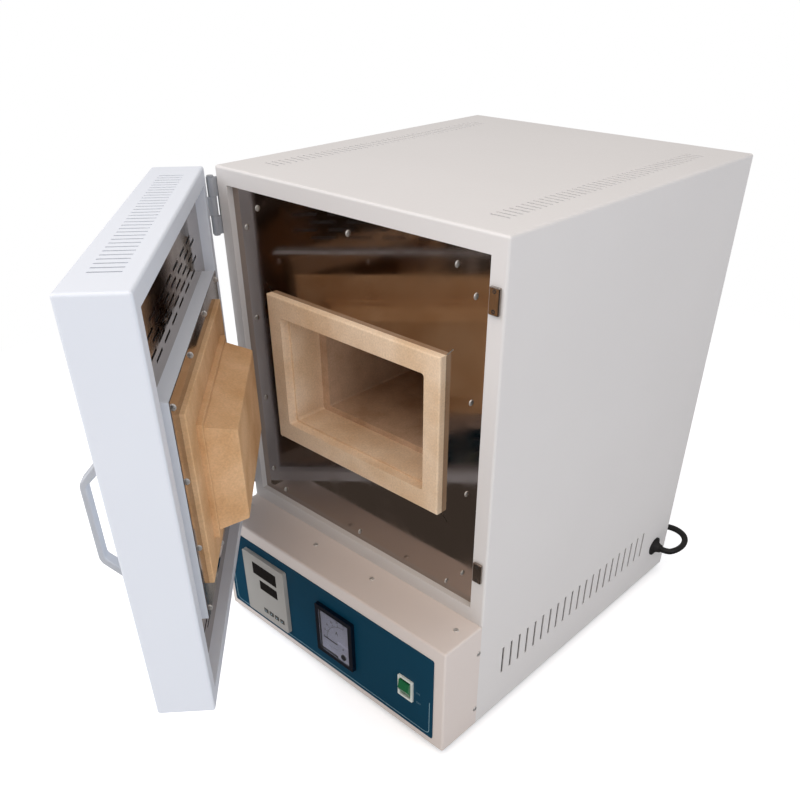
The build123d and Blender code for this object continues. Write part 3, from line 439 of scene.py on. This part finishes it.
finishes = {
    "casing_paint": powderCoat("ivory powder coat", "DEDBD8", "D8D5D2"),
    "door_paint": powderCoat("white powder coat", "E4E8EE", "DDE2E9"),
    "box_paint": powderCoat("beige powder coat", "DDD3CC", "D7CCC4"),
    "panel_paint": mouldedPlastic("teal enamel", "053E55", 0.42, 2.0, Specular_IOR_Level=0.14),
    "mirror_steel": mirrorSteel("mirror stainless", "A89C94", 0.5),
    "plain_steel": rolledMetal("zinc plated sheet", "A9ABAD", 0.42, 3, (1, 0.1, 1)),
    "screw_steel": rolledMetal("nickel plated steel", "D8D6D2", 0.4, 2, (1, 1, 1), 0.65),
    "hinge_steel": rolledMetal("satin steel", "BCC0C5", 0.45, 2, (1, 1, 0.1), 0.6),
    "catch_steel": rolledMetal("polished steel", "A59A92", 0.16, 2, (1, 1, 0.1)),
    "handle_metal": rolledMetal("satin anodised aluminium", "D2D6DC", 0.52, 2, (1, 1, 0.1), 0.35),
    "heating_alloy": rolledMetal("oxidised resistance alloy", "4A403A", 0.6, 3, (1, 1, 1)),
    "magnet": rolledMetal("sintered ferrite", "2E2D2E", 0.6, 2, (1, 1, 1)),
    "sink_aluminium": rolledMetal("extruded aluminium", "A6A9AD", 0.35, 2, (1, 0.1, 1)),
    "pin_brass": rolledMetal("turned brass", "B79A5A", 0.28, 1, (1, 0.1, 1)),
    "collar_ceramic": refractory("collar refractory", "EDD5B8", "E0C29F", 2.2),
    "muffle_ceramic": refractory("fired muffle", "D6B99E", "BB9C80", 2.2),
    "plug_ceramic": refractory("plug refractory", "DEB78C", "CCA071", 2.2),
    "porcelain": mouldedPlastic("glazed porcelain", "E6E1D6", 0.12, 4.0),
    "fibre": fibreBoard("ceramic fibre board", "E4E0D8"),
    # Dark brown wool: painted shade seen through the door's slots
    "wool_in_painted_shade": fibreBoard("mineral wool", "5B4A3C"),
    # Near black sheet: painted shade seen through the casing's slots
    "painted_shade_sheet": rolledMetal("sheet in painted shade", "26282A", 0.6, 3, (1, 0.1, 1)),
    "dial_ink": mouldedPlastic("black dial ink", "16161C", 0.6),
    "pale_ink": mouldedPlastic("pale panel ink", "9CC0CC", 0.5),
    "grey_ink": mouldedPlastic("grey panel ink", "5E7F8C", 0.5),
    # Near black screw heads: painted shade of the catch screws' recesses
    "recess_painted_shade": mouldedPlastic("screw heads in painted recess shade", "2A2624", 0.7),
    "rubber": dullRubber("moulded rubber", "1B1A1A", 0.62),
    "cord_rubber": dullRubber("rubber sheath", "171616", 0.5),
    "tie_plastic": mouldedPlastic("black nylon", "2A2A2C", 0.4),
    "black_plastic": mouldedPlastic("black ABS", "222326", 0.45),
    "bezel_plastic": mouldedPlastic("warm grey ABS", "A3A09A", 0.42),
    "display_plastic": mouldedPlastic("smoked acrylic", "0B0B0E", 0.08, 8.0),
    "key_plastic": mouldedPlastic("pale key rubber", "4A4844", 0.5),
    "meter_plastic": mouldedPlastic("navy phenolic", "08101E", 0.22),
    "dial_paint": mouldedPlastic("dial enamel", "DEDEF2", 0.6, 3.0),
    "clear_window": clearPlastic("clear acrylic", "F2F5F8"),
    "needle_paint": mouldedPlastic("black needle paint", "101012", 0.5),
    "switch_plastic": mouldedPlastic("pale nylon", "D6DAD2", 0.3),
    "rocker_plastic": mouldedPlastic("green polycarbonate", "12663C", 0.2, 1.2, Coat_Weight=0.4),
}
slots = {row["node"]: row["material_slot"] for row in frame["record"]["subparts"]}


def paint(piece, slot):
    piece.data.materials.clear()
    piece.data.materials.append(finishes[slot])


for name, piece in nodes.items():
    paint(piece, slots[name])
paint(mainsCord, "cord_rubber")
# Behind its slots the door's wool is coloured dark brown as painted shade of the door's shadowed
# inside
paint(nodes["door_insulation"], "wool_in_painted_shade")
# Behind the casing's slots the inner sheet is coloured near black as painted shade of the casing's
# dark inside
paint(nodes["inner_case"], "painted_shade_sheet")
print("materials made:", len(finishes))


# What the added pieces share: they are drawn with the door shut, and its own turn onto the pin
pinPlace = Vector((-224.5, -248.5, 0)) * mm
doorOpen = math.radians(-42)
doorTurn = (
    Matrix.Translation(pinPlace)
    @ Matrix.Rotation(doorOpen, 4, "Z")
    @ Matrix.Translation(-pinPlace)
)
panelFront = -311.5
smoothBelow = math.radians(35)


def pick(*pieces):
    bpy.ops.object.select_all(action="DESELECT")
    for piece in pieces:
        piece.select_set(True)
    bpy.context.view_layer.objects.active = pieces[0]


def settle(piece, turn=None):
    # Puts the place into the mesh, so that the object stands at the origin
    pick(piece)
    bpy.ops.object.transform_apply(location=True, rotation=True, scale=True)
    if turn is not None:
        piece.matrix_world = turn
        bpy.ops.object.transform_apply(location=True, rotation=True, scale=True)


def joined(name, pieces, slot, body="cabinet", turn=None):
    pick(*pieces)
    if len(pieces) > 1:
        bpy.ops.object.join()
    whole = bpy.context.view_layer.objects.active
    whole.name = name
    settle(whole, turn)
    paint(whole, slot)
    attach(whole, body)
    return whole


def lettering(words, size, x, y, z):
    # Flat print that faces the front
    bpy.ops.object.text_add(location=(x * mm, y * mm, z * mm), rotation=(math.pi / 2, 0, 0))
    piece = bpy.context.object
    piece.data.body = words
    piece.data.size = size * mm
    piece.data.extrude = 0.02 * mm
    piece.data.align_x = "CENTER"
    piece.data.align_y = "CENTER"
    bpy.ops.object.convert(target="MESH")
    settle(piece)
    return piece


def box(x, y, z, bevel=0.0, segments=2):
    # Bevelled block from three low and high pairs
    middle = [(pair[0] + pair[1]) / 2 * mm for pair in (x, y, z)]
    bpy.ops.mesh.primitive_cube_add(size=1, location=middle)
    piece = bpy.context.object
    piece.scale = [(pair[1] - pair[0]) * mm for pair in (x, y, z)]
    bpy.ops.object.transform_apply(location=True, rotation=True, scale=True)
    if bevel:
        piece.modifiers.new("bevel", "BEVEL")
        piece.modifiers["bevel"].width = bevel * mm
        piece.modifiers["bevel"].segments = segments
        bpy.ops.object.modifier_apply(modifier="bevel")
    return piece


def stroke(points, width, y):
    # Printed line on a front face, as a flat ribbon through points in x and z
    curve = bpy.data.curves.new("stroke", "CURVE")
    curve.dimensions = "3D"
    curve.bevel_depth = width / 2 * mm
    curve.bevel_resolution = 1
    spline = curve.splines.new("POLY")
    spline.points.add(len(points) - 1)
    for point, place in zip(spline.points, points):
        point.co = (place[0] * mm, 0, place[1] * mm, 1)
    piece = bpy.data.objects.new("stroke", curve)
    bpy.context.collection.objects.link(piece)
    pick(piece)
    bpy.ops.object.convert(target="MESH")
    piece.scale = (1, 0.2, 1)
    piece.location = (0, y * mm, 0)
    settle(piece)
    return piece


def arcPoints(x, z, radius, start, end, count=24):
    # Points in x and z on a circle, between two angles in degrees
    angles = [math.radians(start + (end - start) * index / count) for index in range(count + 1)]
    return [(x + radius * math.cos(angle), z + radius * math.sin(angle)) for angle in angles]


# Ammeter dial: a quarter scale round a pivot low on the right, and the block that hides the movement
dial = {
    "middle": (27.8, 90.1),
    "pivot": (45.0, 78.1),
    "face": -313.5,
    "radius": 34.0,
    "numbers": ("0", "10", "20", "30", "40", "50"),
    "minorTicks": 5,
    "numberSize": 4.2,
    "numberOut": 7.2,
    "firstNumberIn": 0.6,
    "majorLength": 3.6,
    "majorWidth": 0.5,
    "minorLength": 1.9,
    "minorWidth": 0.28,
    "arcWidth": 0.45,
    "unitSize": 8.5,
    "unitPlace": (30.5, 97.0),
    "lineWidth": 0.3,
    "lines": ((14.0, 30.0, 66.0), (14.0, 24.0, 63.2)),
    "maskAcross": (5.75, 28.4),
    "maskUp": (-34.7, -7.0),
    "maskOut": 4.4,
    "maskEdge": 0.4,
}
inkHeight = 0.03
inked = []
pivotX, pivotZ = dial["pivot"]
inkPlace = dial["face"] - inkHeight
steps = len(dial["numbers"]) - 1
inked.append(stroke(arcPoints(pivotX, pivotZ, dial["radius"], 180, 90), dial["arcWidth"], inkPlace))
for index in range(steps * dial["minorTicks"] + 1):
    angle = math.radians(180 - 90 * index / (steps * dial["minorTicks"]))
    major = index % dial["minorTicks"] == 0
    kind = "major" if major else "minor"
    reach = dial["radius"] + dial[kind + "Length"]
    ends = [
        (pivotX + r * math.cos(angle), pivotZ + r * math.sin(angle)) for r in (dial["radius"], reach)
    ]
    inked.append(stroke(ends, dial[kind + "Width"], inkPlace))
    if major:
        r = dial["radius"] + dial["numberOut"]
        words = dial["numbers"][index // dial["minorTicks"]]
        x = pivotX + r * math.cos(angle) + (dial["firstNumberIn"] if index == 0 else 0)
        inked.append(lettering(words, dial["numberSize"], x, inkPlace, pivotZ + r * math.sin(angle)))
unitX, unitZ = dial["unitPlace"]
inked.append(lettering("A", dial["unitSize"], unitX, inkPlace, unitZ))
for start, end, z in dial["lines"]:
    inked.append(stroke([(start, z), (end, z)], dial["lineWidth"], inkPlace))
joined("dialPrint", inked, "dial_ink")
meterMask = box(
    [dial["middle"][0] + offset for offset in dial["maskAcross"]],
    (panelFront - dial["maskOut"], dial["face"]),
    [dial["middle"][1] + offset for offset in dial["maskUp"]],
    dial["maskEdge"],
)
joined("meterMask", [meterMask], "dial_paint")
print("dial printed")


# Panel print: a pale line round the lower edge, and the words beside the switch
panelPrint = {
    "left": -203.0,
    "right": 197.5,
    "low": 26.5,
    "high": 84.0,
    "corner": 7.0,
    "width": 0.75,
    "wordSize": 4.6,
    "words": (("ON", 178.0, 86.0), ("OFF", 179.0, 69.5)),
}
printPlace = panelFront - inkHeight
left, right, low, high = (panelPrint[key] for key in ("left", "right", "low", "high"))
corner = panelPrint["corner"]
line = [(left, high)]
line += arcPoints(left + corner, low + corner, corner, 180, 270, 10)
line += arcPoints(right - corner, low + corner, corner, 270, 360, 10)
line += [(right, high)]
joined("panelLine", [stroke(line, panelPrint["width"], printPlace)], "pale_ink")
words = [
    lettering(word, panelPrint["wordSize"], x, printPlace, z) for word, x, z in panelPrint["words"]
]
joined("switchWords", words, "grey_ink")


# Marks on the controller's keys: a ring on one and an arrow on each of the others
keyMark = {"arrow": 1.7, "thick": 0.1, "ring": 1.5, "ringWidth": 0.5, "ringHeight": 0.02}


def span(name):
    # Low and high ends of a node in x, y and z
    corners = [nodes[name].matrix_world @ Vector(corner) for corner in nodes[name].bound_box]
    return [(min(c[i] for c in corners) / mm, max(c[i] for c in corners) / mm) for i in range(3)]


bodies = frame["record"]["behaviour"]["bodies"]
keyBodies = {name: body for body, names in bodies.items() for name in names}
for name, turn in (("shift_key", 90), ("down_key", 180), ("up_key", 0)):
    (x0, x1), (y0, y1), (z0, z1) = span(name)
    bpy.ops.mesh.primitive_cylinder_add(
        vertices=3,
        radius=keyMark["arrow"] * mm,
        depth=keyMark["thick"] * mm,
        location=((x0 + x1) / 2 * mm, y0 * mm, (z0 + z1) / 2 * mm),
        rotation=(math.pi / 2, math.radians(-turn), 0),
    )
    joined(name + "Mark", [bpy.context.object], "pale_ink", keyBodies[name])
(x0, x1), (y0, y1), (z0, z1) = span("set_key")
ring = arcPoints((x0 + x1) / 2, (z0 + z1) / 2, keyMark["ring"], 120, 420, 20)
ring = stroke(ring, keyMark["ringWidth"], y0 - keyMark["ringHeight"])
joined("set_keyMark", [ring], "pale_ink", keyBodies["set_key"])
print("prints and marks made")


# Bow handle: one bent flat bar, slimmer than its solid
handle = {
    "middle": (191.5, -314.5, 419.0),
    "wide": 13.0,
    "bar": 6.0,
    "reach": 24.6,
    "half": 67.0,
    "grip": 43.0,
    "foot": 9.0,
    "bend": 14.0,
    "edge": 1.6,
    "rim": 2.5,
    "footRound": 2.0,
    "lean": 0.6,
}


def mergedCopy(name):
    # A node's mesh with its split edges welded, as a new object
    piece = nodes[name].copy()
    piece.data = nodes[name].data.copy()
    bpy.context.collection.objects.link(piece)
    pick(piece)
    bpy.ops.object.mode_set(mode="EDIT")
    bpy.ops.mesh.select_all(action="SELECT")
    bpy.ops.mesh.remove_doubles(threshold=0.002 * mm)
    bpy.ops.mesh.normals_make_consistent(inside=False)
    bpy.ops.object.mode_set(mode="OBJECT")
    return piece


def roundedCorners(points, radii, steps=8):
    # The open line through the points, with an arc at each inner one
    line = [Vector(points[0])]
    for before, corner, after, radius in zip(points, points[1:], points[2:], radii):
        corner = Vector(corner)
        toBack = (Vector(before) - corner).normalized()
        toNext = (Vector(after) - corner).normalized()
        half = toBack.angle(toNext) / 2
        start = corner + toBack * (radius / math.tan(half))
        end = corner + toNext * (radius / math.tan(half))
        heart = corner + (toBack + toNext).normalized() * (radius / math.sin(half))
        sweep = math.pi - 2 * half
        for index in range(steps + 1):
            share = math.sin(sweep * (1 - index / steps)) / math.sin(sweep)
            other = math.sin(sweep * index / steps) / math.sin(sweep)
            line.append(heart + (start - heart) * share + (end - heart) * other)
    line.append(Vector(points[-1]))
    return line


def bowBar():
    # Side outline of the bow, out along its outer face and back along its inner one
    out, half, grip, bar, foot = (handle[key] for key in ("reach", "half", "grip", "bar", "foot"))
    rim, small, bend = (handle[key] for key in ("rim", "footRound", "bend"))
    inGrip = grip - bar * handle["lean"]
    outer = [(-half, 0), (-half, rim), (-grip, out), (grip, out), (half, rim), (half, 0)]
    inner = [(half - foot, 0), (inGrip, out - bar), (-inGrip, out - bar), (-half + foot, 0)]
    line = roundedCorners(outer, (small, bend, bend, small))
    line += roundedCorners(inner, (bend - bar, bend - bar))
    curve = bpy.data.curves.new("bow", "CURVE")
    curve.dimensions = "2D"
    curve.fill_mode = "BOTH"
    curve.bevel_depth = handle["edge"] * mm
    curve.bevel_resolution = 3
    curve.extrude = (handle["wide"] / 2 - handle["edge"]) * mm
    curve.offset = -handle["edge"] * mm
    spline = curve.splines.new("POLY")
    spline.points.add(len(line) - 1)
    for point, place in zip(spline.points, line):
        point.co = (place[1] * mm, place[0] * mm, 0, 1)
    spline.use_cyclic_u = True
    piece = bpy.data.objects.new("bow", curve)
    bpy.context.collection.objects.link(piece)
    pick(piece)
    bpy.ops.object.convert(target="MESH")
    # The curve's X becomes the way out of the door and its Y the height
    piece.matrix_world = Matrix.Translation(Vector(handle["middle"]) * mm) @ Matrix(
        ((0, 0, 1, 0), (-1, 0, 0, 0), (0, 1, 0, 0), (0, 0, 0, 1))
    )
    settle(piece)
    return piece


bow = joined("bowHandle", [bowBar()], "handle_metal", "door", doorTurn)
bpy.ops.object.shade_smooth_by_angle(angle=smoothBelow)
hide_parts("door_handle")


# Screws: pan heads with a cross recess, one on each of the solids' screws
screwSize = {
    "radius": 3.6,
    "height": 1.9,
    "rim": 0.95,
    "slot": 4.4,
    "slotWide": 0.95,
    "slotDeep": 1.1,
    "driven": 37,
}


def screwHead():
    tall = screwSize["height"]
    bpy.ops.mesh.primitive_cylinder_add(
        vertices=28,
        radius=screwSize["radius"] * mm,
        depth=tall * mm,
        location=(0, 0, tall / 2 * mm),
    )
    head = bpy.context.object
    rim = head.modifiers.new("rim", "BEVEL")
    rim.width = screwSize["rim"] * mm
    rim.segments = 3
    rim.limit_method = "ANGLE"
    bpy.ops.object.modifier_apply(modifier="rim")
    reach = screwSize["slot"] / 2
    wide = screwSize["slotWide"] / 2
    for x, y in ((reach, wide), (wide, reach)):
        cutter = box((-x, x), (-y, y), (tall - screwSize["slotDeep"], tall + 1))
        bpy.context.view_layer.objects.active = head
        cut = head.modifiers.new("cut", "BOOLEAN")
        cut.operation = "DIFFERENCE"
        cut.object = cutter
        bpy.ops.object.modifier_apply(modifier="cut")
        bpy.data.objects.remove(cutter)
    return head


def screwPlaces(name, turn=None):
    # The seat and the way out of each screw in a node, read from its solids
    piece = mergedCopy(name)
    if turn is not None:
        settle(piece, turn.inverted())
    bpy.ops.object.mode_set(mode="EDIT")
    bpy.ops.mesh.separate(type="LOOSE")
    bpy.ops.object.mode_set(mode="OBJECT")
    places = []
    for part in list(bpy.context.selected_objects):
        points = [vertex.co.copy() for vertex in part.data.vertices]
        low = Vector([min(p[i] for p in points) for i in range(3)])
        high = Vector([max(p[i] for p in points) for i in range(3)])
        along = max(range(3), key=lambda i: high[i] - low[i])
        place = (low + high) / 2
        across = [i for i in range(3) if i != along]
        widest = max(points, key=lambda p: sum((p[i] - place[i]) ** 2 for i in across))
        place[along] = widest[along]
        way = Vector((0, 0, 0))
        way[along] = 1 if high[along] - widest[along] < widest[along] - low[along] else -1
        places.append((place, way))
        bpy.data.objects.remove(part)
    return places


def seatedHeads(places, size=1.0):
    pattern = screwHead()
    heads = []
    for index, (place, way) in enumerate(places):
        head = pattern.copy()
        head.data = pattern.data.copy()
        bpy.context.collection.objects.link(head)
        # Each screw stopped at its own angle when it was driven
        spin = Matrix.Rotation(math.radians(screwSize["driven"] * index % 90), 4, "Z")
        turned = way.to_track_quat("Z", "Y").to_matrix().to_4x4() @ spin
        head.matrix_world = Matrix.Translation(place) @ turned @ Matrix.Scale(size, 4)
        settle(head)
        heads.append(head)
    bpy.data.objects.remove(pattern)
    return heads


def screwHeads(name, node, body, turn=None):
    heads = seatedHeads(screwPlaces(node, turn))
    whole = joined(name, heads, "screw_steel", body, turn)
    bpy.ops.object.shade_smooth_by_angle(angle=smoothBelow)
    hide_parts(node)
    print(name, len(heads))


screwHeads("cabinetScrewHeads", "cabinet_screws", "cabinet")
screwHeads("doorScrewHeads", "door_screws", "door", doorTurn)


# Catches: a bright plate on the casing's rim with a screw near each end, whose head is coloured near
# black as painted shade of its recess
catch = {
    "x": (202.4, 214.8),
    "rim": -243.5,
    "thick": 3.6,
    "tall": 27.0,
    "heights": (579.5, 258.0),
    "screw": 9.6,
    "screwSize": 0.72,
    "screwSunk": 0.6,
}
plates = []
seats = []
catchFront = catch["rim"] - catch["thick"]
for z in catch["heights"]:
    half = catch["tall"] / 2
    plates.append(box(catch["x"], (catchFront, catch["rim"]), (z - half, z + half), 1.0, 3))
    for side in (-1, 1):
        seat = (sum(catch["x"]) / 2, catchFront + catch["screwSunk"], z + side * catch["screw"])
        seats.append((Vector(seat) * mm, Vector((0, -1, 0))))
plate = joined("catchPlates", plates, "catch_steel")
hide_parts("catch_housings", "catch_magnets")
# The catch screw heads take the near-black finish, painted shade of their recesses
joined("catchScrews", seatedHeads(seats, catch["screwSize"]), "recess_painted_shade")
print("handle and catches fitted")

bpy.context.view_layer.update()
